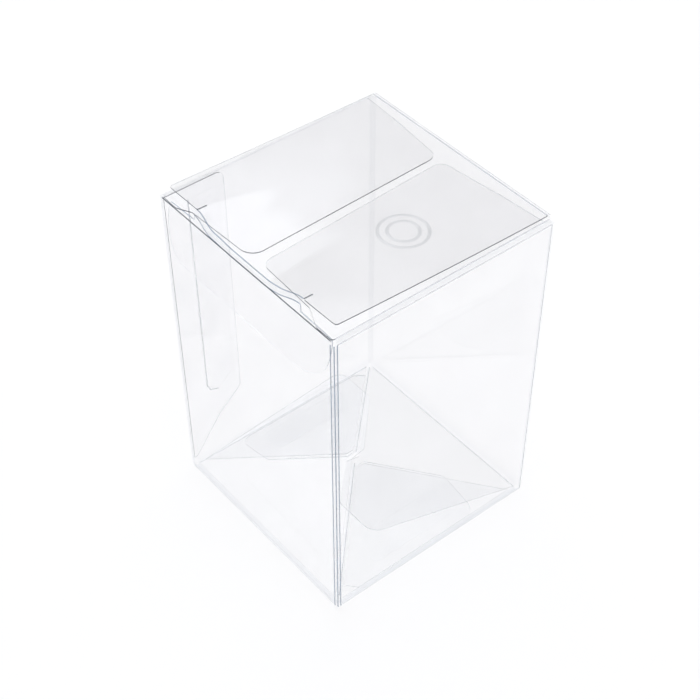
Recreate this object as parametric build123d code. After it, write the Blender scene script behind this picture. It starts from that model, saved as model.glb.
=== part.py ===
"""Clear folding carton for a deck of cards, die-cut from one sheet of PET, glued at a side seam.

Millimetres, +Z up. The origin is at the centre of the base, on the plane the carton stands on.
Front is -Y, right is +X. The lid is hinged at the back and its tuck flap slips in behind the front.
"""

import os
from math import cos, radians, tan

from build123d import *

# Driving dimensions
SIDE = 68.0  # outside width and depth
HEIGHT = 100.0
SHEET = 0.3  # thickness of the PET sheet
FOLD = 1.1  # outside radius of a folded crease
GLUE = 0.06  # thickness of a glue line
GAP = 0.05  # clearance where a panel meets its crease
SQUARE = 90.0

HALF = SIDE / 2
INNER = HALF - SHEET  # inside face of a wall
RUN = HALF - FOLD  # where a flat panel starts beside a corner crease

# Top: the lid lies over two dust flaps
LID_UNDER = HEIGHT - SHEET
DUST_TOP = LID_UNDER - SHEET  # one sheet of air under the lid
DUST_UNDER = DUST_TOP - SHEET
LID_FRONT = -33.9
LID_HALF = 33.6
SLIT_LEFT = -23.5  # ends of the slits that lock the tuck flap
SLIT_RIGHT = 21.0
SLIT_WIDTH = 0.3
SLIT_HOOK = 3.0  # short cut into the lid at the end of each slit

# Tuck flap, curved about the lid's hinge so that it slides out past the front
TUCK_FACE = -INNER + 0.1  # outside face of the tuck flap at its crease
TUCK_BOTTOM = 82.0
TUCK_HALF = 32.5
EAR_TOP = 98.2  # the flap's ends sit below the dust flaps' shoulders
HINGE_Y = HALF - SHEET / 2
HINGE_Z = HEIGHT - SHEET / 2

# Glue flap of the side seam, inside the left wall
SEAM_FACE = -INNER + GLUE  # outside face of the glue flap
SEAM_EDGE = -15.1
SEAM_TOP = 98.2  # under the left dust flap's crease
SEAM_GLUE_Y = (-26.0, -17.0)
SEAM_GLUE_Z = (24.0, 94.0)

# Automatic base: four flaps that rise from the walls to the middle
RISE = 13.0  # degrees
LAND = 0.6  # flat foot of each bottom crease
BASE_EDGE = -RUN + LAND  # line about which a base flap turns
BASE_LEVEL = 0.36  # underside of a base flap at that line
BEAD = 0.35  # width of the raised bead of a bottom crease
BASE_HALF = RUN - LAND - 0.1  # half length of a bottom crease
FLAP_EDGE = BASE_EDGE + 0.15  # where a base flap's sheet starts
TAB_DROP = SHEET + GLUE  # a glue tab lies below the flap that it is glued to
CREASE_BAND = 0.9  # half width of the diagonal crease of a glue tab
LOCK = 3.2  # x + y along the lock edge of a major flap


def turned(shape, degrees):
    """The shape turned about the carton's upright axis."""
    return Rot(0, 0, degrees) * shape


def outline(points, radii=None):
    """A flat face from corner points, with a fillet radius for each corner."""
    if radii is None:
        return make_face(Polyline(*points, close=True))
    return make_face(FilletPolyline(*points, radius=radii, close=True))


def wall(left, right, bottom, top):
    """A wall panel in the front position, its outside face on y = -HALF."""
    panel = Box(right - left, SHEET, top - bottom)
    return Pos((left + right) / 2, -HALF + SHEET / 2, (bottom + top) / 2) * panel


def fold_section(start, sweep):
    """Section of a folded crease: a ring sector about the fold's centre."""
    outside = CenterArc((0, 0), FOLD, start, sweep)
    inside = CenterArc((0, 0), FOLD - SHEET, start, sweep)
    ends = Line(outside @ 0, inside @ 0) + Line(outside @ 1, inside @ 1)
    return make_face(outside + inside + ends)


def fold_along_x(start, low, high, y, z):
    """A quarter-round crease along X, its fold centre at y, z."""
    section = Plane((low, y, z), x_dir=(0, 1, 0), z_dir=(1, 0, 0)) * fold_section(start, SQUARE)
    return extrude(section, high - low)


def corner_crease(x, bottom, top):
    """The upright crease at the front left corner, its fold centre at x."""
    return extrude(Pos(x, -RUN, bottom) * fold_section(180, SQUARE), top - bottom)


# Walls and seam


def walls():
    seam_run = SEAM_FACE + FOLD
    crease_top = DUST_TOP - FOLD
    return {
        "front_panel": wall(seam_run, RUN, FOLD, DUST_TOP),
        "right_panel": turned(wall(-RUN, RUN, FOLD, crease_top), 90),
        "back_panel": turned(wall(-RUN, RUN, FOLD, HEIGHT - FOLD), 180),
        "left_panel": turned(wall(-RUN, HALF - 0.6, FOLD, crease_top), 270),
        "seam_corner_crease": corner_crease(seam_run, FOLD, DUST_TOP),
        "front_right_crease": turned(corner_crease(-RUN, FOLD, crease_top), 90),
        "back_right_crease": turned(corner_crease(-RUN, FOLD, crease_top), 180),
        "back_left_crease": turned(corner_crease(-RUN, FOLD, crease_top), 270),
    }


def seam():
    """The glue flap, cut back at its lower end, and the stripe of glue that holds it."""
    points = [
        (-RUN, 2.3),
        (-31.9, 2.3),
        (-28.7, 6.5),
        (-22.8, 14.3),
        (SEAM_EDGE, 21.0),
        (SEAM_EDGE, SEAM_TOP),
        (-RUN, SEAM_TOP),
    ]
    face = outline(points, [0, 1, 12, 12, 3, 2.5, 0])
    flap = extrude(Plane((SEAM_FACE, 0, 0), x_dir=(0, 1, 0), z_dir=(1, 0, 0)) * face, SHEET)
    (y_low, y_high), (z_low, z_high) = SEAM_GLUE_Y, SEAM_GLUE_Z
    stripe = Box(GLUE, y_high - y_low, z_high - z_low)
    place = Pos(SEAM_FACE - GLUE / 2, (y_low + y_high) / 2, (z_low + z_high) / 2)
    return {"glue_flap": flap, "seam_glue": place * stripe}


# Lid and tuck flap


def lid_panel():
    front = TUCK_FACE + FOLD
    points = [
        (-LID_HALF, RUN),
        (-LID_HALF, LID_FRONT),
        (SLIT_LEFT, LID_FRONT),
        (SLIT_LEFT, front),
        (SLIT_RIGHT, front),
        (SLIT_RIGHT, LID_FRONT),
        (LID_HALF, LID_FRONT),
        (LID_HALF, RUN),
    ]
    face = outline(points, [0, 1.5, 0, 0, 0, 0, 1.5, 0])
    for x in (SLIT_LEFT + SLIT_WIDTH, SLIT_RIGHT - SLIT_WIDTH):
        face -= Pos(x, front + SLIT_HOOK / 2) * Rectangle(SLIT_WIDTH, SLIT_HOOK)
    return extrude(Pos(0, 0, LID_UNDER) * face, SHEET)


def tuck_flap():
    """A strip of a cylinder about the lid's hinge, cut to the flap's outline."""
    radius = HINGE_Y - TUCK_FACE
    top = HEIGHT - FOLD - GAP
    points = [
        (SLIT_LEFT + SLIT_WIDTH, top),
        (SLIT_LEFT + SLIT_WIDTH, EAR_TOP),
        (-TUCK_HALF, EAR_TOP),
        (-TUCK_HALF, TUCK_BOTTOM),
        (TUCK_HALF, TUCK_BOTTOM),
        (TUCK_HALF, EAR_TOP),
        (SLIT_RIGHT - SLIT_WIDTH, EAR_TOP),
        (SLIT_RIGHT - SLIT_WIDTH, top),
    ]
    face = outline(points, [0, 0, 1, 6, 8, 1, 0, 0])
    block = extrude(Plane((0, -HALF, 0), x_dir=(1, 0, 0), z_dir=(0, -1, 0)) * face, -HALF)
    ring = Circle(radius) - Circle(radius - SHEET)
    tube = extrude(Plane((-HALF, HINGE_Y, HINGE_Z), x_dir=(0, 1, 0), z_dir=(1, 0, 0)) * ring, SIDE)
    return block & tube


def dust_flap(free_edge, step):
    """The right dust flap: its shoulder near the hinge, a step, and the long front edge."""
    points = [
        (RUN, -32.7),
        (step + 4.5, -32.7),
        (step, -30.4),
        (free_edge, -29.6),
        (free_edge, 29.1),
        (20.0, 30.5),
        (RUN, 31.6),
    ]
    face = outline(points, [0, 1.5, 2.5, 3.5, 2.5, 30, 0])
    return extrude(Pos(0, 0, DUST_UNDER) * face, SHEET)


def top():
    lid_fold = fold_along_x(0, -RUN, RUN, RUN, HEIGHT - FOLD)
    tuck_fold = fold_along_x(
        SQUARE, SLIT_LEFT + SLIT_WIDTH, SLIT_RIGHT - SLIT_WIDTH, TUCK_FACE + FOLD, HEIGHT - FOLD
    )
    dust_fold = turned(fold_along_x(SQUARE, -RUN, RUN, -RUN, DUST_TOP - FOLD), 90)
    right = dust_flap(1.7, 21.5)
    left = mirror(dust_flap(0.6, 23.0), Plane.YZ)
    return {
        "lid_panel": lid_panel(),
        "lid_crease": lid_fold,
        "tuck_flap": tuck_flap(),
        "tuck_crease": tuck_fold,
        "right_dust_flap": right,
        "right_dust_crease": dust_fold,
        "left_dust_flap": left,
        "left_dust_crease": mirror(dust_fold, Plane.YZ),
    }


# Base. Each shape is drawn in plan in the front position, then turned to its own side.


def bottom_crease():
    """The front bottom crease: a quarter round, a flat foot and a bead that the flap turns on."""
    outside = CenterArc((-RUN, FOLD), FOLD, 180, SQUARE)
    inside = CenterArc((-RUN, FOLD), FOLD - SHEET, 180, SQUARE)
    bead_top = BASE_LEVEL + SHEET
    bead = BASE_EDGE - BEAD
    foot = Polyline(
        outside @ 1, (BASE_EDGE, 0), (BASE_EDGE, bead_top), (bead, bead_top), (bead, SHEET), inside @ 1
    )
    face = make_face(outside + foot + inside + Line(inside @ 0, outside @ 0))
    return extrude(Plane((-BASE_HALF, 0, 0), x_dir=(0, 1, 0), z_dir=(1, 0, 0)) * face, 2 * BASE_HALF)


def sloping(points, radii, drop, thickness):
    """A sheet that rises from the front bottom crease, from its outline in plan.

    drop is how far its underside lies below a base flap's, measured square to the sheet."""
    slope = radians(RISE)
    on_sheet = [(x, (y - BASE_EDGE) / cos(slope)) for x, y in points]
    plane = Plane((0, BASE_EDGE, BASE_LEVEL), x_dir=(1, 0, 0), z_dir=(0, -tan(slope), 1))
    return extrude(plane.offset(-drop) * outline(on_sheet, radii), thickness)


def major_flap():
    """The front flap: it reaches past the middle on its left, to lock over the far flap."""
    band = CREASE_BAND * 2**0.5
    notch = 0.3
    points = [
        (-BASE_HALF, FLAP_EDGE),
        (-26.9, 16.3),
        (LOCK - 16.3, 16.3),
        (-notch, LOCK + notch),
        (-notch, notch - band),
        (-band - FLAP_EDGE, FLAP_EDGE),
    ]
    return sloping(points, [0, 4, 2, 0, 0, 0], 0, SHEET)


def minor_flap():
    """A side flap, drawn in the front position: a triangle cut back along both diagonals."""
    tip = -3.0
    tab_side, lock_side = 1.4, 2.2
    points = [
        (FLAP_EDGE + tab_side, FLAP_EDGE),
        (tip + tab_side, tip),
        (-tip - lock_side, tip),
        (-FLAP_EDGE - lock_side, FLAP_EDGE),
    ]
    return sloping(points, [0, 0.2, 0.2, 0], 0, SHEET)


def glue_tab():
    """The tab under a side flap, drawn in the front position; its crease is on the left diagonal."""
    band = CREASE_BAND * 2**0.5
    outer = BASE_EDGE + 0.3
    points = [
        (-25.2, outer),
        (-28.0, -28.0 - band),
        (-1.0, -1.0 - band),
        (1.2, -2.2),
        (17.6, -18.6),
        (17.6, outer),
    ]
    return sloping(points, [0.8, 0, 0, 0, 2.5, 3.5], TAB_DROP, SHEET)


def tab_glue():
    points = [(-18.0, -29.0), (12.0, -29.0), (12.0, -20.0), (-14.0, -20.0)]
    return sloping(points, [2, 2, 2, 2], GLUE, GLUE)


def tab_crease():
    """The bent band between a major flap and its tab, along the hip from the front right corner."""
    fall = tan(radians(RISE)) / 2**0.5
    side = CREASE_BAND - GAP
    drop = side * fall
    section = outline(
        [
            (-side, -drop),
            (0, 0),
            (side, -drop - TAB_DROP),
            (side, SHEET - drop - TAB_DROP),
            (0, SHEET),
            (-side, SHEET - drop),
        ]
    )
    low, high = 27.5, 1.6
    level = BASE_LEVEL + (-low - BASE_EDGE) * tan(radians(RISE))
    path = Vector(-1, 1, tan(radians(RISE)))
    plane = Plane((low, -low, level), x_dir=(1, 1, 0), z_dir=path)
    if plane.y_dir.Z < 0:
        section = mirror(section, Plane.XZ)
    return extrude(plane * section, (low - high) * path.length)


def base():
    """Two major flaps with their tabs, and two side flaps, the same after half a turn."""
    parts = {}
    for name, side, degrees in (("front", "right", 0), ("back", "left", 180)):
        parts[name + "_bottom_flap"] = turned(major_flap(), degrees)
        parts[name + "_bottom_crease"] = turned(bottom_crease(), degrees)
        parts[name + "_tab_crease"] = turned(tab_crease(), degrees)
        parts[name + "_glue_tab"] = turned(glue_tab(), degrees + 90)
        parts[name + "_tab_glue"] = turned(tab_glue(), degrees + 90)
        parts[side + "_bottom_flap"] = turned(minor_flap(), degrees + 90)
        parts[side + "_bottom_crease"] = turned(bottom_crease(), degrees + 90)
    return parts


os.makedirs("parts", exist_ok=True)
for node, shape in {**walls(), **seam(), **top(), **base()}.items():
    export_step(shape, f"parts/{node}.step")
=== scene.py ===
"""Clear folding carton for a deck of cards: looks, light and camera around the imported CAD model.

Everything is in the CAD frame. The base flaps, glue tabs and bottom creases are the CAD nodes with clear
materials. The walls, seam, lid, tuck flap, dust flaps and the other creases are meshes built here, because
the thin sheet springs out of flat. Lengths are in millimetres until a mesh is made.
"""

import math

import bpy
import numpy as np
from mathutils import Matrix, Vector
from mathutils.geometry import delaunay_2d_cdt


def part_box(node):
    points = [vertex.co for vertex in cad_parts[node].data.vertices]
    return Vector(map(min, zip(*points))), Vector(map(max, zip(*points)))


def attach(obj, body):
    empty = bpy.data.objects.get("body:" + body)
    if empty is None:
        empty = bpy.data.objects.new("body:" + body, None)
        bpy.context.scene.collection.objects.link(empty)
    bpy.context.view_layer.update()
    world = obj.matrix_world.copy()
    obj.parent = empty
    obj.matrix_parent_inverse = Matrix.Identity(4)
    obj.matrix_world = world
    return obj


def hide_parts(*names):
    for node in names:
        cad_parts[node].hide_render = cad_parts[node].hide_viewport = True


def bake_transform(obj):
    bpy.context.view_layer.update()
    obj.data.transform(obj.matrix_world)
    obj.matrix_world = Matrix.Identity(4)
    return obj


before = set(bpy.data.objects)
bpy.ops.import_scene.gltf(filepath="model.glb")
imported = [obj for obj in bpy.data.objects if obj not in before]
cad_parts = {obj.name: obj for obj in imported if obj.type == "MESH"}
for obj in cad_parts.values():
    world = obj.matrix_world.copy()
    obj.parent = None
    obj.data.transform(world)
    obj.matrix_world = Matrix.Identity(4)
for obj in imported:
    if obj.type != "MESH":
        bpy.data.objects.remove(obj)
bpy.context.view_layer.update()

MM = 0.001


def box_mm(node):
    low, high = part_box(node)
    return low / MM, high / MM


FRONT_LOW, FRONT_HIGH = box_mm("front_panel")
LID_LOW, LID_HIGH = box_mm("lid_panel")
FOLD_LOW, FOLD_HIGH = box_mm("lid_crease")

HALF = -FRONT_LOW.y  # outside face of a wall
SHEET = FRONT_HIGH.y - FRONT_LOW.y  # thickness of the PET
HEIGHT = LID_HIGH.z
FOLD = FOLD_HIGH.z - FOLD_LOW.z  # outside radius of a fold
RUN = HALF - FOLD  # where a flat panel ends beside a fold
DUST_TOP = box_mm("right_dust_flap")[1].z
TUCK_FACE = box_mm("tuck_crease")[0].y  # outside face of the tuck flap at its fold
CREASE_LEFT, CREASE_RIGHT = -21.4, 20.0  # ends of the tuck fold, where the slits begin
NOTCH = 0.25  # width of a slit
FOLD_PLACES = np.linspace(CREASE_LEFT, CREASE_RIGHT, 44)  # along x, where the tuck fold is worked out
LID_BACK_RIGHT = 32.2  # the lid's right edge at its hinge, set in from the wall


# Shapes of the sprung sheet

FLARE = 0.026  # how much wider the open top stands than the base


def spread(point):
    """The point moved outwards with its height: the dust flaps' spring pushes the walls apart."""
    x, y, z = point
    share = 1 + FLARE * min(max(z / HEIGHT, 0.0), 1.0)
    return Vector((x * share, y * share, z))


def metres(x, y, z):
    """The spread point in metres."""
    return spread((x, y, z)) * MM


def smooth(points, x):
    """A smooth line through points (x, value), level beyond the first and the last."""
    for (x0, v0), (x1, v1) in zip(points, points[1:]):
        if x <= x1:
            t = min(max((x - x0) / (x1 - x0), 0.0), 1.0)
            return v0 + (v1 - v0) * t * t * (3 - 2 * t)
    return points[-1][1]


LIFT_LEFT, LIFT_RIGHT = 0.9, 2.3  # how far the lid's front corners stand up
# Along x: the lid's height above flat at its front, and how far the tuck fold is pulled back
FRONT_LIFT = [(-33.6, 0.9), (-21.5, 1.2), (-12.0, 0.1), (-4.0, -0.2)]
FRONT_LIFT += [(8.0, -0.2), (12.5, 0.3), (20.0, 1.8), (33.6, 2.3)]
FRONT_SET_BACK = [(-21.4, 1.5), (-13.0, 0.15), (-6.0, 0.0), (10.0, 0.0), (20.0, 1.2)]


def lid_lift(x, y):
    """Height of the lid above flat: its front corners spring up, and between the slits it is held down."""
    t = min(max((RUN - y) / (RUN - TUCK_FACE), 0.0), 1.05)
    share = (x + HALF) / (2 * HALF)
    broad = LIFT_LEFT + (LIFT_RIGHT - LIFT_LEFT) * share
    return broad * t**1.5 + (smooth(FRONT_LIFT, x) - broad) * t**5


def tuck_line(x):
    """The outside face of the tuck fold: it is pulled back towards the slits."""
    return TUCK_FACE + smooth(FRONT_SET_BACK, x)


def fold_start(x):
    """Where the flat of the lid ends and the tuck fold starts."""
    return tuck_line(x) + FOLD


# Meshes


def rounded(points, radii, pitch=0.5):
    """The corner points with each corner turned into an arc of its radius."""
    path = []
    count = len(points)
    for i, radius in enumerate(radii):
        here, before, after = (np.array(points[(i + k) % count], float) for k in (0, -1, 1))
        if radius <= 0:
            path.append(here)
            continue
        back, ahead = before - here, after - here
        back, ahead = back / np.linalg.norm(back), ahead / np.linalg.norm(ahead)
        half = math.acos(np.clip(back @ ahead, -1, 1)) / 2
        middle = (back + ahead) / np.linalg.norm(back + ahead)
        centre = here + middle * radius / math.sin(half)
        start, end = here + back * radius / math.tan(half), here + ahead * radius / math.tan(half)
        turn = math.pi - 2 * half
        steps = max(3, int(radius * turn / pitch))
        first = start - centre
        side = (end - centre) - first * math.cos(turn)
        side = side / max(np.linalg.norm(side), 1e-9) * radius
        for k in range(steps + 1):
            angle = turn * k / steps
            path.append(centre + first * math.cos(angle) + side * math.sin(angle))
    return path


def outline(corners):
    """The path of corners (u, v, radius)."""
    return rounded([c[:2] for c in corners], [c[2] for c in corners])


def divided(path, pitch):
    """The closed path with points no further apart than pitch."""
    points = []
    for start, end in zip(path, path[1:] + path[:1]):
        steps = max(1, math.ceil(np.linalg.norm(end - start) / pitch))
        points += [start + (end - start) * k / steps for k in range(steps)]
    return points


def clear_of(path, grid, margin):
    """The grid points that are inside the closed path and at least margin from it."""
    start = np.array(path)
    end = np.roll(start, -1, axis=0)
    along = end - start
    length = np.maximum((along**2).sum(1), 1e-12)
    kept = []
    for p in grid:
        t = np.clip(((p - start) * along).sum(1) / length, 0, 1)
        if np.sqrt((((start + along * t[:, None]) - p) ** 2).sum(1).min()) < margin:
            continue
        cross = (start[:, 1] > p[1]) != (end[:, 1] > p[1])
        rise = np.where(np.abs(along[:, 1]) < 1e-12, 1e-12, along[:, 1])
        if (cross & (p[0] < start[:, 0] + (p[1] - start[:, 1]) * along[:, 0] / rise)).sum() % 2:
            kept.append(p)
    return kept


SHARP_ANGLE = math.radians(35)


def add_mesh(name, points, faces, materials, slots):
    """A mesh object from points in millimetres, with a material slot for each face."""
    data = bpy.data.meshes.new(name)
    data.from_pydata([spread(p) * MM for p in points], [], faces)
    for material in materials:
        data.materials.append(material)
    data.polygons.foreach_set("material_index", slots)
    data.polygons.foreach_set("use_smooth", [True] * len(faces))
    data.set_sharp_from_angle(angle=SHARP_ANGLE)
    data.update()
    piece = bpy.data.objects.new(name, data)
    bpy.context.scene.collection.objects.link(piece)
    return piece


PAINTED_SHADE_SIDE = Vector((0.62, -0.50, 0.60))  # cut faces turned this way get painted shade, the others painted light
PAINTED_SHADE_SHARE = 0.15  # how far they have to be turned that way to get the painted shade
FACE, SHADED_EDGE_SLOT, LIT_EDGE_SLOT = 0, 1, 2  # material slots of a sheet: its faces, and its cut edges with painted shade and with painted light


def sheet_piece(name, path, place, materials, pitch=2.0, joined=None):
    """A thin sheet cut to a closed path.

    place(u, v, h) gives the point at u, v, a height h above the sheet's underside. joined(u, v) says where
    the border isn't a cut edge, because the sheet goes on into a fold there."""
    edge = divided(path, pitch)
    low, high = np.min(edge, axis=0), np.max(edge, axis=0)
    grid = [
        np.array((u, v))
        for u in np.arange(low[0] + pitch / 2, high[0], pitch)
        for v in np.arange(low[1] + pitch / 2, high[1], pitch)
    ]
    flat = edge + clear_of(edge, grid, pitch * 0.45)
    rim = [(i, (i + 1) % len(edge)) for i in range(len(edge))]
    made = delaunay_2d_cdt([Vector(p) for p in flat], rim, [], 1, 1e-5)
    corners, triangles = made[0], [list(f) for f in made[2]]
    count = len(corners)
    points = [place(c.x, c.y, SHEET) for c in corners] + [place(c.x, c.y, 0.0) for c in corners]
    top = [f if turn_of(corners, f) > 0 else f[::-1] for f in triangles]
    sides = {(a, b) for f in top for a, b in zip(f, f[1:] + f[:1])}
    border = [(a, b) for a, b in sides if (b, a) not in sides]
    border.sort()
    faces = top + [[i + count for i in reversed(f)] for f in top]
    faces += [[b, a, a + count, b + count] for a, b in border]
    a, b, c = (Vector(points[i]) for i in faces[0])
    if (b - a).cross(c - a).dot(a - Vector(points[faces[0][0] + count])) < 0:
        faces = [f[::-1] for f in faces]
    slots = [FACE] * (2 * len(top))
    for (start, end), face in zip(border, faces[2 * len(top) :]):
        middle = (corners[start] + corners[end]) / 2
        if joined and joined(middle.x, middle.y):
            slots.append(FACE)
            continue
        a, b, c = (Vector(points[i]) for i in face[:3])
        # painted shade on cut faces turned towards the shaded side, painted light on the rest
        slots.append(SHADED_EDGE_SLOT if (b - a).cross(c - b).normalized().dot(PAINTED_SHADE_SIDE) > PAINTED_SHADE_SHARE else LIT_EDGE_SLOT)
    return add_mesh(name, points, faces, materials, slots)


def turn_of(points, face):
    """Twice the area of the triangle of a face's first three points, positive where they turn left."""
    a, b, c = (points[i] for i in face[:3])
    return (b.x - a.x) * (c.y - a.y) - (b.y - a.y) * (c.x - a.x)


def swept_piece(name, sections, stations, materials, closed=False):
    """Closed sections run along stations (origin, p direction, q direction).

    A section is (points, material slot), and its points are (p, q)."""
    points, faces, slots = [], [], []
    for section, slot in sections:
        size = len(section)
        start = len(points)
        for origin, p_dir, q_dir in stations:
            points += [Vector(origin) + Vector(p_dir) * p + Vector(q_dir) * q for p, q in section]
        laps = len(stations) if closed else len(stations) - 1
        sides = []
        for k in range(laps):
            here, there = start + k * size, start + (k + 1) % len(stations) * size
            for i in range(size):
                j = (i + 1) % size
                sides.append([here + i, here + j, there + j, there + i])
        if not closed:
            last = start + (len(stations) - 1) * size
            sides.append([start + i for i in reversed(range(size))])
            sides.append([last + i for i in range(size)])
        faces += sides
        slots += [slot] * len(sides)
    first = sections[0][0]
    area = sum(p0 * q1 - p1 * q0 for (p0, q0), (p1, q1) in zip(first, first[1:] + first[:1]))
    origin, p_dir, q_dir = stations[0]
    ahead = Vector(stations[1][0]) - Vector(origin)
    if Vector(p_dir).cross(Vector(q_dir)).dot(ahead) * area < 0:
        faces = [f[::-1] for f in faces]
    return add_mesh(name, points, faces, materials, slots)


# Sections of a fold. p and q are the outward directions of the two panels, from the fold's centre.

BEND = 0.65  # outside radius of the bend itself
RIDGE = 0.15  # half width of the line that a creasing rule leaves
PROUD = 0.09  # how far it stands out
SUNK = 0.03  # how far its foot is let into the sheet


def fold_band():
    """A bent strip: a small arc with a short flat on each side."""
    flat, steps = FOLD - BEND, 6
    turns = [math.pi / 2 * k / steps for k in range(steps + 1)]
    outside = [(flat + BEND * math.cos(t), flat + BEND * math.sin(t)) for t in turns]
    inner = BEND - SHEET
    inside = [(flat + inner * math.cos(t), flat + inner * math.sin(t)) for t in reversed(turns)]
    return [(FOLD, 0)] + outside + [(0, FOLD), (0, FOLD - SHEET)] + inside + [(FOLD - SHEET, 0)]


def ridge(place, half=RIDGE, proud=PROUD):
    """A ridge across the outside of a fold: place is along the surface, 0 at the middle of the bend."""
    reach, flat = BEND * math.pi / 4, FOLD - BEND
    section = []
    for along, height in ((-half, -SUNK), (half, -SUNK), (half * 0.5, proud), (-half * 0.5, proud)):
        s = place + along
        if s < -reach:
            section.append((FOLD + height, flat + s + reach))
        elif s > reach:
            section.append((flat - s + reach, FOLD + height))
        else:
            angle = math.pi / 4 + s / BEND
            radius = BEND + height
            section.append((flat + radius * math.cos(angle), flat + radius * math.sin(angle)))
    return section


def fold_sections(places):
    """The band of a fold in slot 0, and its ridges in slot 1."""
    return [(fold_band(), 0)] + [(ridge(place), 1) for place in places]


# Materials


def new_material(name):
    material = bpy.data.materials.new(name)
    material.use_nodes = True
    material.node_tree.nodes.clear()
    return material, material.node_tree.nodes, material.node_tree.links


def math_node(nodes, links, operation, *values):
    node = nodes.new("ShaderNodeMath")
    node.operation = operation
    for socket, value in zip(node.inputs, values):
        if isinstance(value, (int, float)):
            socket.default_value = value
        else:
            links.new(value, socket)
    return node.outputs[0]


def noise_node(nodes, links, scale, detail=2.0, stretch=None):
    coordinates = nodes.new("ShaderNodeTexCoord")
    source = coordinates.outputs["Object"]
    if stretch:
        mapping = nodes.new("ShaderNodeMapping")
        mapping.inputs["Scale"].default_value = stretch
        links.new(source, mapping.inputs["Vector"])
        source = mapping.outputs["Vector"]
    noise = nodes.new("ShaderNodeTexNoise")
    noise.inputs["Scale"].default_value = scale
    noise.inputs["Detail"].default_value = detail
    links.new(source, noise.inputs["Vector"])
    return noise.outputs["Fac"]


def ramp_node(nodes, links, factor, low, high):
    """low and high are (position, colour)."""
    ramp = nodes.new("ShaderNodeValToRGB")
    for element, (position, colour) in zip(ramp.color_ramp.elements, (low, high)):
        element.position = position
        element.color = (*colour, 1)
    links.new(factor, ramp.inputs["Fac"])
    return ramp.outputs["Color"]


def bump_node(nodes, links, height, distance, under=None):
    bump = nodes.new("ShaderNodeBump")
    bump.inputs["Strength"].default_value = 1.0
    bump.inputs["Distance"].default_value = distance
    links.new(height, bump.inputs["Height"])
    if under is not None:
        links.new(under, bump.inputs["Normal"])
    return bump.outputs["Normal"]


def dimming(nodes, links, strength):
    """How much of its darkness a sheet shows: less to the light that it lets on to the floor, because on
    the real one the other walls' reflections make up for it."""
    path = nodes.new("ShaderNodeLightPath")
    shadow, diffuse = path.outputs["Is Shadow Ray"], path.outputs["Is Diffuse Ray"]
    lighting = math_node(nodes, links, "MAXIMUM", shadow, diffuse)
    return math_node(nodes, links, "MULTIPLY_ADD", lighting, -strength, 1.0)


FACE_DIMMING, EDGE_DIMMING = 0.9, 0.75  # how much less of it the light meets
WAVE_SCALE, WAVE_HEIGHT = 32.0, 0.00012  # slow waves of the sheet
GRAIN_SCALE, GRAIN_HEIGHT = 900.0, 0.000004  # its fine grain
HAZE_SCALE = 60.0


def clear_shader(nodes, links, tint, least, gloss, most=1.0):
    """What shows through the sheet, and its reflection, whose share grows from least to most as the view
    gets more glancing. gloss is how rough the haze makes that reflection."""
    waves = bump_node(nodes, links, noise_node(nodes, links, WAVE_SCALE), WAVE_HEIGHT)
    normal = bump_node(nodes, links, noise_node(nodes, links, GRAIN_SCALE, 3.0), GRAIN_HEIGHT, waves)
    haze = noise_node(nodes, links, HAZE_SCALE, 4.0)
    through = nodes.new("ShaderNodeBsdfTransparent")
    paler = tuple(min(1.0, c + 0.006) for c in tint)
    hue = nodes.new("ShaderNodeMix")
    hue.data_type = "RGBA"
    hue.inputs["A"].default_value = (1, 1, 1, 1)
    shown = dimming(nodes, links, FACE_DIMMING)
    links.new(shown, hue.inputs["Factor"])
    links.new(ramp_node(nodes, links, haze, (0.35, tint), (0.65, paler)), hue.inputs["B"])
    links.new(hue.outputs["Result"], through.inputs["Color"])
    shine = nodes.new("ShaderNodeBsdfGlossy")
    shine.inputs["Color"].default_value = (1, 1, 1, 1)
    links.new(math_node(nodes, links, "MULTIPLY_ADD", haze, gloss, gloss * 0.5), shine.inputs["Roughness"])
    links.new(normal, shine.inputs["Normal"])
    weight = nodes.new("ShaderNodeLayerWeight")
    weight.inputs["Blend"].default_value = 0.5
    rise = math_node(nodes, links, "POWER", weight.outputs["Facing"], 5.0)
    share = math_node(nodes, links, "MULTIPLY_ADD", rise, most - least, least)
    mix = nodes.new("ShaderNodeMixShader")
    links.new(math_node(nodes, links, "MULTIPLY", share, shown), mix.inputs["Fac"])
    links.new(through.outputs[0], mix.inputs[1])
    links.new(shine.outputs[0], mix.inputs[2])
    return mix.outputs[0]


def edge_shader(nodes, links, color, solid):
    """A cut or creased line of the sheet, darker than its face because light bends away in it.

    solid is how much of what lies behind it is covered."""
    grain = noise_node(nodes, links, 120.0, 3.0)
    through = nodes.new("ShaderNodeBsdfTransparent")
    body = nodes.new("ShaderNodeBsdfPrincipled")
    paler = tuple(min(1.0, c * 1.5) for c in color)
    links.new(ramp_node(nodes, links, grain, (0.35, color), (0.68, paler)), body.inputs["Base Color"])
    links.new(math_node(nodes, links, "MULTIPLY_ADD", grain, 0.3, 0.15), body.inputs["Roughness"])
    links.new(bump_node(nodes, links, grain, 0.00005), body.inputs["Normal"])
    mix = nodes.new("ShaderNodeMixShader")
    cover = math_node(nodes, links, "MULTIPLY_ADD", grain, 0.5, solid - 0.25)
    shown = dimming(nodes, links, EDGE_DIMMING)
    links.new(math_node(nodes, links, "MULTIPLY", cover, shown), mix.inputs["Fac"])
    links.new(through.outputs[0], mix.inputs[1])
    links.new(body.outputs[0], mix.inputs[2])
    return mix.outputs[0]


def finish_material(nodes, links, shader):
    output = nodes.new("ShaderNodeOutputMaterial")
    links.new(shader, output.inputs["Surface"])


TINT = (0.984, 0.984, 0.9865)  # share of light that one face of the sheet lets through
GREY = (0.27, 0.31, 0.36)


def face_material(name, tint=TINT, least=0.045, gloss=0.04, most=1.0):
    material, nodes, links = new_material(name)
    finish_material(nodes, links, clear_shader(nodes, links, tint, least, gloss, most))
    return material


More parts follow.
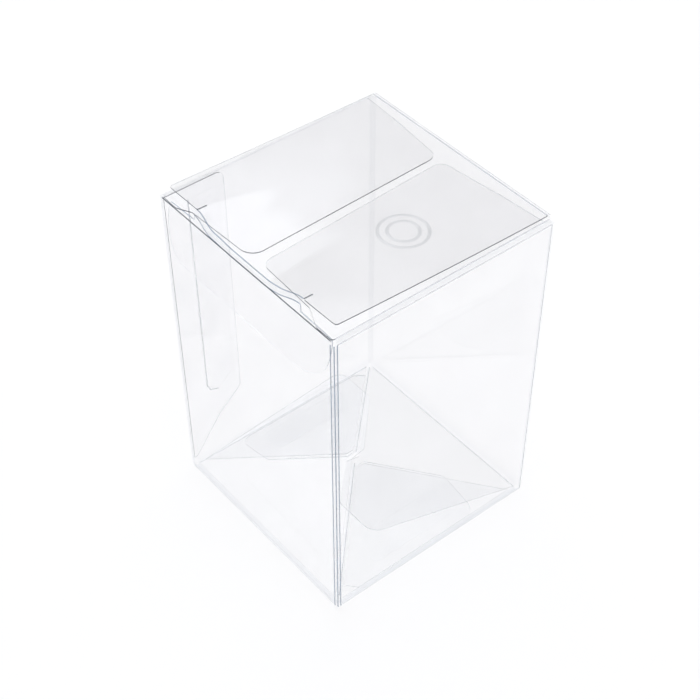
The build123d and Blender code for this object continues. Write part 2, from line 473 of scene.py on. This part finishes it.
def line_material(name, color, solid):
    material, nodes, links = new_material(name)
    finish_material(nodes, links, edge_shader(nodes, links, color, solid))
    return material


EDGE_TURN = 0.6  # a face that looks less than this along its panel's axis is a cut edge


def panel_material(name, axis, color, solid, tint=TINT, least=0.045):
    """Clear PET for a flat CAD panel: its cut edges are the faces that don't look along axis."""
    material, nodes, links = new_material(name)
    face = clear_shader(nodes, links, tint, least, 0.04)
    edge = edge_shader(nodes, links, color, solid)
    coordinates = nodes.new("ShaderNodeTexCoord")
    split = nodes.new("ShaderNodeSeparateXYZ")
    links.new(coordinates.outputs["Normal"], split.inputs["Vector"])
    along = math_node(nodes, links, "ABSOLUTE", split.outputs[axis])
    mix = nodes.new("ShaderNodeMixShader")
    links.new(math_node(nodes, links, "LESS_THAN", along, EDGE_TURN), mix.inputs["Fac"])
    links.new(face, mix.inputs[1])
    links.new(edge, mix.inputs[2])
    finish_material(nodes, links, mix.outputs[0])
    return material


CLEAR = face_material("clear_pet")
CREASED = face_material("creased_pet", (0.980, 0.982, 0.987), 0.05, 0.12, 0.35)
# darker copy of the creased sheet: painted shade along the front and right bottom creases
SHADED_FOOT = face_material("creased_foot_painted_shade_pet", (0.955, 0.962, 0.972), 0.06, 0.15, 0.5)
# darker copy of the creased sheet: painted shade in the back left corner
SHADED_BAND = face_material("creased_band_painted_shade_pet", (0.962, 0.964, 0.969), 0.05, 0.12, 0.35)
EMBOSSED = face_material("embossed_pet", (0.95, 0.955, 0.96), 0.10, 0.10)
GLUED = face_material("glued_pet", (0.994, 0.995, 0.998), 0.012, 0.08, 0.6)
# Copies of the cut edge: near-black with painted shade, for cut faces turned towards the shaded side;
# lighter grey with painted light, for the others; near-white with a painted highlight, for the tuck flap.
SHADED_CUT_EDGE = line_material("cut_edge", (0.04, 0.05, 0.07), 1.0)
LIT_CUT_EDGE = line_material("painted_light_cut_edge", GREY, 0.32)
HIGHLIGHT_CUT_EDGE = line_material("painted_highlight_cut_edge", (0.9, 0.92, 0.96), 0.75)
SCORED = line_material("scored_line", (0.20, 0.26, 0.34), 0.60)
SOFT_SCORED = line_material("soft_scored_line", GREY, 0.22)
TAB = panel_material("clear_tab", "Z", GREY, 0.42, (0.992, 0.993, 0.996), 0.02)
# a sheet's faces, then its cut edges with painted shade, then those with painted light
SHEET_LOOK = [CLEAR, SHADED_CUT_EDGE, LIT_CUT_EDGE]


# Walls and seam


WALL_PITCH = 12.0  # between mesh points: a wall is flat, so that it needs few


def wall_piece(node, path, place, materials=SHEET_LOOK):
    """A flat piece of the carton's sides, in place of its CAD node."""
    piece = sheet_piece(node.replace("panel", "wall") + "_sheet", path, place, materials, pitch=WALL_PITCH)
    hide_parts(node)
    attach(piece, "carton")
    return piece


def make_walls():
    """The four walls. Only the front one has a bare cut edge, at its top: the others end in folds."""
    for node, axis, sign in (
        ("front_panel", "y", -1),
        ("back_panel", "y", 1),
        ("right_panel", "x", 1),
        ("left_panel", "x", -1),
    ):
        low, high = box_mm(node)
        u0, u1 = (low.x, high.x) if axis == "y" else (low.y, high.y)

        def place(u, z, h, axis=axis, sign=sign):
            depth = sign * (HALF - SHEET + h)
            return (u, depth, z) if axis == "y" else (depth, u, z)

        path = [np.array(p) for p in ((u0, low.z), (u1, low.z), (u1, high.z), (u0, high.z))]
        # the front wall's top cut edge takes the copy with painted shade
        looks = [CLEAR, CLEAR, SHADED_CUT_EDGE] if node == "front_panel" else [CLEAR, CLEAR, CLEAR]
        wall = wall_piece(node, path, place, looks)
        if node == "front_panel":
            for face in wall.data.polygons:
                is_top = abs(face.normal.y) < EDGE_TURN and face.normal.z > EDGE_TURN
                face.material_index = looks.index(SHADED_CUT_EDGE) if is_top else FACE


def make_glue_flap():
    """The seam's glue flap, cut back on a slant at its foot."""
    low, high = box_mm("glue_flap")
    foot = 2.3
    corners = [(low.y, foot, 0), (-31.9, foot, 1), (-28.7, 6.5, 12), (-22.8, 14.3, 12)]
    corners += [(high.y, 21.0, 3), (high.y, high.z, 2.5), (low.y, high.z, 0)]
    flap = wall_piece("glue_flap", outline(corners), lambda y, z, h: (low.x + h, y, z))


def make_seam_glue():
    """The stripe of glue between the glue flap and the left wall."""
    low, high = box_mm("seam_glue")
    corners = [(low.y, low.z + 3, 3), (low.y + 4, low.z, 3), (high.y, low.z + 5, 3)]
    corners += [(high.y, high.z, 2), (low.y, high.z, 2)]

    def surface(y, z, h):
        return (low.x + h / SHEET * (high.x - low.x), y, z)

    glue = wall_piece("seam_glue", outline(corners), surface, [GLUED, LIT_CUT_EDGE, LIT_CUT_EDGE])


# Lid, tuck flap and dust flaps


def lid_surface(x, y, h):
    """The point of the lid at x, y, a height h above its underside."""
    return (x, y, HEIGHT - SHEET + lid_lift(x, y) + h)


def make_lid():
    left_side, right_side = LID_LOW.x, 31.8
    left_front, right_front = -30.9, -31.4
    hook = 2.6  # how far a slit runs into the lid
    left, right = CREASE_LEFT, CREASE_RIGHT
    fold = [(x, fold_start(x)) for x in FOLD_PLACES]
    corners = [(-RUN, RUN, 0), (left_side, left_front, 0.8), (left - NOTCH, left_front - 0.1, 0.3)]
    corners += [(left - NOTCH, left_front + hook, 0), (left, left_front + hook, 0)]
    corners += [(x, y, 0) for x, y in fold]
    corners += [(right, right_front + hook, 0), (right + NOTCH, right_front + hook, 0)]
    corners += [(right + NOTCH, right_front, 0.3), (right_side, right_front - 0.1, 0.9)]
    corners.append((LID_BACK_RIGHT, RUN, 0))
    path = outline(corners)

    def joined(x, y):
        return y > RUN - 0.05 or (left < x < right and y < fold_start(x) + 0.1)

    lid = sheet_piece("lid_sheet", path, lid_surface, SHEET_LOOK, joined=joined)
    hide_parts("lid_panel")
    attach(lid, "lid")


def make_ring(name, radius):
    """One plain embossed ring, on the right half of the lid."""
    centre_x, centre_y = 15.3, 2.2
    half, high, count = 0.42, 0.16, 96
    shoulder = (half * 0.6, high * 0.75)
    section = [(-half, -SUNK), (half, -SUNK), shoulder, (0, high), (-shoulder[0], shoulder[1])]
    stations = []
    for k in range(count):
        turn = 2 * math.pi * k / count
        out = Vector((math.cos(turn), math.sin(turn), 0))
        x, y = centre_x + radius * out.x, centre_y + radius * out.y
        stations.append((lid_surface(x, y, SHEET), out, (0, 0, 1)))
    piece = swept_piece(name, [(section, 0)], stations, [EMBOSSED], closed=True)
    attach(piece, "lid")


def make_tuck():
    """The tuck fold between the slits, and the flap below it with its two ears."""
    top = [(x, HEIGHT - FOLD + lid_lift(x, fold_start(x))) for x in FOLD_PLACES]
    stations = [((x, fold_start(x), z), (0, 0, 1), (0, -1, 0)) for x, z in top]
    sections = fold_sections((-0.9, 0.9))
    crease = swept_piece("tuck_fold", sections, stations, [CREASED, SCORED])
    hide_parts("tuck_crease")
    metres(0, fold_start(0), HEIGHT)
    metres(0, TUCK_FACE, HEIGHT - FOLD)
    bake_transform(crease)

    ear, bottom, half = 98.0, 80.2, 31.9
    corners = [(-half, bottom, 6), (half, bottom, 15)]
    corners += [(half, ear, 1), (CREASE_RIGHT + NOTCH, ear + 0.4, 0)]
    corners += [(x, z, 0) for x, z in reversed(top)]
    corners += [(CREASE_LEFT - NOTCH, ear + 0.4, 0), (-half, ear, 1)]
    path = outline(corners)

    def surface(x, z, h):
        """Pulled back with the fold near its top, almost against the front lower down."""
        near_top = min(max((z - 90.0) / 9.0, 0.0), 1.0) ** 1.5
        slack = 0.25 * min(max((HEIGHT - z) / 18.0, 0.0), 1.0)
        set_back = smooth(FRONT_SET_BACK, x) * near_top
        return (x, TUCK_FACE + set_back + slack + SHEET - h, z)

    def joined(x, z):
        return CREASE_LEFT < x < CREASE_RIGHT and z > ear + 0.5

    # The tuck flap's cut faces turned towards the shaded side take the dark score line as painted shade,
    # the others a near-white painted highlight.
    flap = sheet_piece("tuck_sheet", path, surface, [CLEAR, SCORED, HIGHLIGHT_CUT_EDGE], joined=joined)
    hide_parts("tuck_flap")
    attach(flap, "tuck")


def make_dust_flap(side, sign, corners, sag, lines):
    """A dust flap and its fold.

    corners are (distance from the middle, y, radius), from the front shoulder round to the back. sag is the
    drop of the free edge, and lines are the places of the fold's ridges."""
    path = outline([(d * sign, y, radius) for d, y, radius in corners])
    if sign < 0:
        path = path[::-1]

    def surface(x, y, h):
        reach = min(max((RUN - abs(x)) / RUN, 0.0), 1.1)
        return (x, y, DUST_TOP - SHEET - sag * reach + h)

    def joined(x, _):
        return abs(x) > RUN - 0.05

    flap = sheet_piece(side + "_dust_sheet", path, surface, SHEET_LOOK, joined=joined)
    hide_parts(side + "_dust_flap")
    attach(flap, side + "_dust")

    stations = [((sign * RUN, y, DUST_TOP - FOLD), (sign, 0, 0), (0, 0, 1)) for y in (-RUN, RUN)]
    sections = fold_sections(lines)
    crease = swept_piece(side + "_dust_fold", sections, stations, [CREASED, SOFT_SCORED])
    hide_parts(side + "_dust_crease")
    wall_end, flap_end = metres(sign * HALF, 0, DUST_TOP - FOLD), metres(sign * RUN, 0, DUST_TOP)
    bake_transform(crease)


def make_lid_fold():
    stations = [((x, RUN, HEIGHT - FOLD), (0, 1, 0), (0, 0, 1)) for x in (-RUN, LID_BACK_RIGHT)]
    sections = fold_sections((0.0, 0.9))
    crease = swept_piece("lid_fold", sections, stations, [CREASED, SOFT_SCORED])
    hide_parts("lid_crease")
    metres(0, HALF, HEIGHT - FOLD)
    metres(0, RUN, HEIGHT)
    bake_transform(crease)


# Up a corner: (height, how far its fold is set in), to pass under the walls' bottom folds
FOOT_SET_IN = [(0.12, 0.5), (0.35, 0.22), (0.75, 0.06), (1.3, 0.0)]


def make_corner_fold(node, x_sign, y_sign, places, face, line):
    """An upright fold with ridges at places."""
    low, high = box_mm(node)
    centre_x = high.x - FOLD if x_sign > 0 else low.x + FOLD
    centre_y = high.y - FOLD if y_sign > 0 else low.y + FOLD
    stations = []
    for z, inwards in FOOT_SET_IN + [(high.z, 0.0)]:
        origin = (centre_x - x_sign * inwards, centre_y - y_sign * inwards, z)
        stations.append((origin, (x_sign, 0, 0), (0, y_sign, 0)))
    sections = fold_sections(places)
    piece = swept_piece(node.replace("crease", "fold"), sections, stations, [face, line])
    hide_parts(node)
    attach(piece, "carton")


def make_corner_folds():
    make_corner_fold("front_right_crease", 1, -1, (-1.0, -0.1, 1.0), CREASED, SCORED)
    make_corner_fold("back_right_crease", 1, 1, (-0.9,), CREASED, SOFT_SCORED)
    # the back left fold is darker: painted shade
    make_corner_fold("back_left_crease", -1, 1, (), SHADED_BAND, SOFT_SCORED)
    make_corner_fold("seam_corner_crease", -1, -1, (), CREASED, SOFT_SCORED)


def make_bottom_lines():
    """The line along each near bottom crease, low on its bend."""
    for side, (out_x, out_y) in (("front", (0, -1)), ("right", (1, 0))):
        low, high = box_mm(side + "_bottom_crease")
        half = (high.x - low.x) / 2 if out_y else (high.y - low.y) / 2
        stations = []
        for along in (-half, half):
            origin = (out_x * RUN - out_y * along, out_y * RUN + out_x * along, FOLD)
            stations.append((origin, (0, 0, -1), (out_x, out_y, 0)))
        angles = [math.radians(a) for a in (66, 70, 74)]
        rise = (-SUNK, 0.05, -SUNK)
        section = [((FOLD + h) * math.cos(a), (FOLD + h) * math.sin(a)) for a, h in zip(angles, rise)]
        lines = swept_piece(side + "_bottom_line", [(section, 0)], stations, [SOFT_SCORED])
        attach(lines, "carton")


BASE_RISE = math.tan(math.radians(13.0))  # slope of a base flap
BASE_LEVEL = 0.36  # underside of a base flap at its hinge line
BASE_EDGE = RUN - 0.6  # how far that line is from the middle


def make_tab_fold(side, sign, body):
    """The fold between a main base flap and its glue tab: a low roof along the hip, with a line on it."""
    half, step = 0.74, 0.36  # half width, and how far the tab lies below the flap
    outer_end, inner_end = 31.2, 1.6  # in x and in y from the middle
    drop = half * BASE_RISE / math.sqrt(2)
    section = [(-half, -drop), (0, 0), (half, -drop - step), (half, SHEET - drop - step), (0, SHEET)]
    section.append((-half, SHEET - drop))
    foot, crest = SHEET - 0.05, SHEET + 0.05
    line = [(-RIDGE, foot), (RIDGE, foot), (0.08, crest), (-0.08, crest)]
    stations = []
    for place in (outer_end, inner_end):
        origin = (sign * place, -sign * place, BASE_LEVEL + (BASE_EDGE - place) * BASE_RISE)
        stations.append((origin, Vector((sign, sign, 0)).normalized(), (0, 0, 1)))
    piece = swept_piece(side + "_tab_fold", [(section, 0), (line, 1)], stations, [CREASED, SOFT_SCORED])
    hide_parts(side + "_tab_crease")
    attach(piece, body)


def make_glue_bead():
    """The edge of the seam's glue stripe, where a little glue is pressed out."""
    low, high = box_mm("seam_glue")
    middle = (low.x + high.x) / 2
    half_width, half_depth = 0.2, 0.028
    section = [(-half_width, -half_depth), (half_width, -half_depth)]
    section += [(half_width, half_depth), (-half_width, half_depth)]
    path = [(low.y, high.z), (low.y, low.z + 3.2), (low.y + 0.9, low.z + 1.1), (low.y + 3.6, low.z)]
    stations = []
    for k, (y, z) in enumerate(path):
        before, after = path[max(k - 1, 0)], path[min(k + 1, len(path) - 1)]
        along = Vector((0, after[0] - before[0], after[1] - before[1])).normalized()
        stations.append(((middle, y, z), along.cross(Vector((1, 0, 0))), (1, 0, 0)))
    bead = swept_piece("seam_glue_bead", [(section, 0)], stations, [LIT_CUT_EDGE])
    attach(bead, "carton")


def paint(node, material):
    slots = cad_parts[node].data.materials
    slots.clear()
    slots.append(material)


def paint_cad():
    """The base and the creases under it, the front and right bottom creases with painted shade. A glued tab
    shows less, because the glue fills the gap.
    """
    flap = panel_material("clear_base", "Z", GREY, 0.34, (0.985, 0.987, 0.990))
    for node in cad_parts:
        # painted shade on the front and right bottom creases
        if node in ("front_bottom_crease", "right_bottom_crease"):
            paint(node, SHADED_FOOT)
        elif "crease" in node:
            paint(node, CREASED)
        elif "glue_tab" in node or "tab_glue" in node:
            paint(node, TAB)
        else:
            paint(node, flap)


# Camera, floor and light


def aim(obj, target, roll=0.0):
    """Point an object's -Z at target, turned by roll about that line."""
    turn = (target - obj.location).to_track_quat("-Z", "Y").to_euler()
    turn.rotate_axis("Z", roll)
    obj.rotation_euler = turn


def make_camera():
    """The camera looks down at the front right corner."""
    middle = Vector((-0.001, -0.001, 0.0503))
    azimuth, elevation = math.radians(50.98), math.radians(43.87)
    distance = 0.431
    roll = math.radians(-0.23)
    away = Vector(
        (
            math.sin(azimuth) * math.cos(elevation),
            -math.cos(azimuth) * math.cos(elevation),
            math.sin(elevation),
        )
    )
    data = bpy.data.cameras.new("camera")
    data.lens, data.sensor_width = 82.7, 36.0
    data.clip_start, data.clip_end = 0.01, 20.0
    camera = bpy.data.objects.new("camera", data)
    camera.location = middle + away * distance
    bpy.context.scene.collection.objects.link(camera)
    aim(camera, middle, roll)
    bpy.context.scene.camera = camera


FLOOR_GAP = 0.0001  # keeps the floor clear of the faces that stand on it


def make_floor():
    half, white = 1.5, 0.93
    corners = [(-half, -half, 0), (half, -half, 0), (half, half, 0), (-half, half, 0)]
    data = bpy.data.meshes.new("floor")
    data.from_pydata(corners, [], [(0, 1, 2, 3)])
    floor = bpy.data.objects.new("floor", data)
    floor.location.z = -FLOOR_GAP
    bpy.context.scene.collection.objects.link(floor)
    material = bpy.data.materials.new("floor_white")
    material.use_nodes = True
    shader = material.node_tree.nodes["Principled BSDF"]
    shader.inputs["Base Color"].default_value = (white, white, white, 1)
    shader.inputs["Roughness"].default_value = 0.9
    shader.inputs["Specular IOR Level"].default_value = 0.0
    data.materials.append(material)


WORLD_RAMP = [  # (height of the direction, colour)
    (0.0, (0.45, 0.45, 0.46)),
    (0.60, (0.45, 0.45, 0.46)),
    (0.80, (0.60, 0.60, 0.61)),
    (1.0, (1.0, 1.0, 1.0)),
]
SOFTBOX_GLOW = (1.22, 1.23, 1.27)
SOFTBOX_SIDES = [  # (normal, least dot product) of the planes that bound the softbox's directions
    ((-0.656, -0.755, 0.0), 0.008),
    ((-0.5, 0.866, 0.0), 0.0),
    ((0.0, 0.0, 1.0), 0.630),
    ((0.0, 0.0, -1.0), -0.93),
]
SOFTBOX_BLUR = 0.016


def make_world():
    """Grey near the horizon, white overhead, with a softbox high on the left."""
    world = bpy.data.worlds.new("studio")
    bpy.context.scene.world = world
    world.use_nodes = True
    nodes, links = world.node_tree.nodes, world.node_tree.links
    coordinates = nodes.new("ShaderNodeTexCoord")
    direction = coordinates.outputs["Generated"]
    split = nodes.new("ShaderNodeSeparateXYZ")
    links.new(direction, split.inputs["Vector"])
    ramp = nodes.new("ShaderNodeValToRGB")
    elements = ramp.color_ramp.elements
    for k, (position, colour) in enumerate(WORLD_RAMP):
        element = elements[k] if k < 2 else elements.new(position)
        element.position = position
        element.color = (*colour, 1)
    links.new(split.outputs["Z"], ramp.inputs["Fac"])
    inside = None
    for normal, least in SOFTBOX_SIDES:
        dot = nodes.new("ShaderNodeVectorMath")
        dot.operation = "DOT_PRODUCT"
        dot.inputs[1].default_value = normal
        links.new(direction, dot.inputs[0])
        step = nodes.new("ShaderNodeMapRange")
        step.interpolation_type = "SMOOTHSTEP"
        step.inputs["From Min"].default_value = least - SOFTBOX_BLUR
        step.inputs["From Max"].default_value = least + SOFTBOX_BLUR
        links.new(dot.outputs["Value"], step.inputs["Value"])
        edge = step.outputs[0]
        inside = edge if inside is None else math_node(nodes, links, "MULTIPLY", inside, edge)
    mix = nodes.new("ShaderNodeMix")
    mix.data_type = "RGBA"
    links.new(inside, mix.inputs["Factor"])
    links.new(ramp.outputs["Color"], mix.inputs["A"])
    mix.inputs["B"].default_value = (*SOFTBOX_GLOW, 1)
    background = nodes["Background"]
    links.new(mix.outputs["Result"], background.inputs["Color"])
    background.inputs["Strength"].default_value = 1.0


LIGHT_SIZE, LIGHT_POWER = 1.2, 5.0  # metres and watts


def area_light(name, place):
    """A round soft light. The sheet doesn't mirror it, because it mirrors the world's softbox instead."""
    data = bpy.data.lights.new(name, "AREA")
    data.shape, data.size, data.energy = "DISK", LIGHT_SIZE, LIGHT_POWER
    light = bpy.data.objects.new(name, data)
    light.location = place
    light.visible_glossy = False
    bpy.context.scene.collection.objects.link(light)
    aim(light, Vector((0, 0, 0)))


def make_stage():
    make_camera()
    make_floor()
    make_world()
    area_light("key_light", (-0.5, 0.3, 1.1))
    area_light("fill_light", (0.6, -0.3, 1.2))
    cycles = bpy.context.scene.cycles
    cycles.max_bounces = 32
    cycles.transmission_bounces = 32
    cycles.transparent_max_bounces = 64  # a view through the carton crosses many sheets
    bpy.context.scene.view_settings.view_transform = "Standard"


paint_cad()
make_walls()
make_glue_flap()
make_seam_glue()
make_lid()
make_ring("emboss_outer", 6.2)
make_ring("emboss_inner", 3.9)
make_tuck()
make_dust_flap(
    "right",
    sign=1,
    corners=[(RUN, -33.4, 0.8), (27.3, -33.4, 2.0), (20.9, -30.4, 2.0), (1.2, -29.1, 3.2)]
    + [(-1.5, 29.1, 3.0), (20.0, 30.8, 30.0), (RUN, 31.3, 0.5)],
    sag=1.1,
    lines=(-0.9, 0.9),
)
make_dust_flap(
    "left",
    sign=-1,
    corners=[(RUN, -33.4, 0.8), (27.3, -33.4, 1.5), (23.5, -31.3, 1.5), (1.8, -30.0, 4.0)]
    + [(3.4, 29.3, 3.0), (20.0, 30.8, 30.0), (RUN, 31.3, 0.5)],
    sag=0.8,
    lines=(),
)
make_lid_fold()
make_corner_folds()
make_bottom_lines()
make_tab_fold("front", 1, "front_base")
make_tab_fold("back", -1, "back_base")
make_glue_bead()
make_stage()
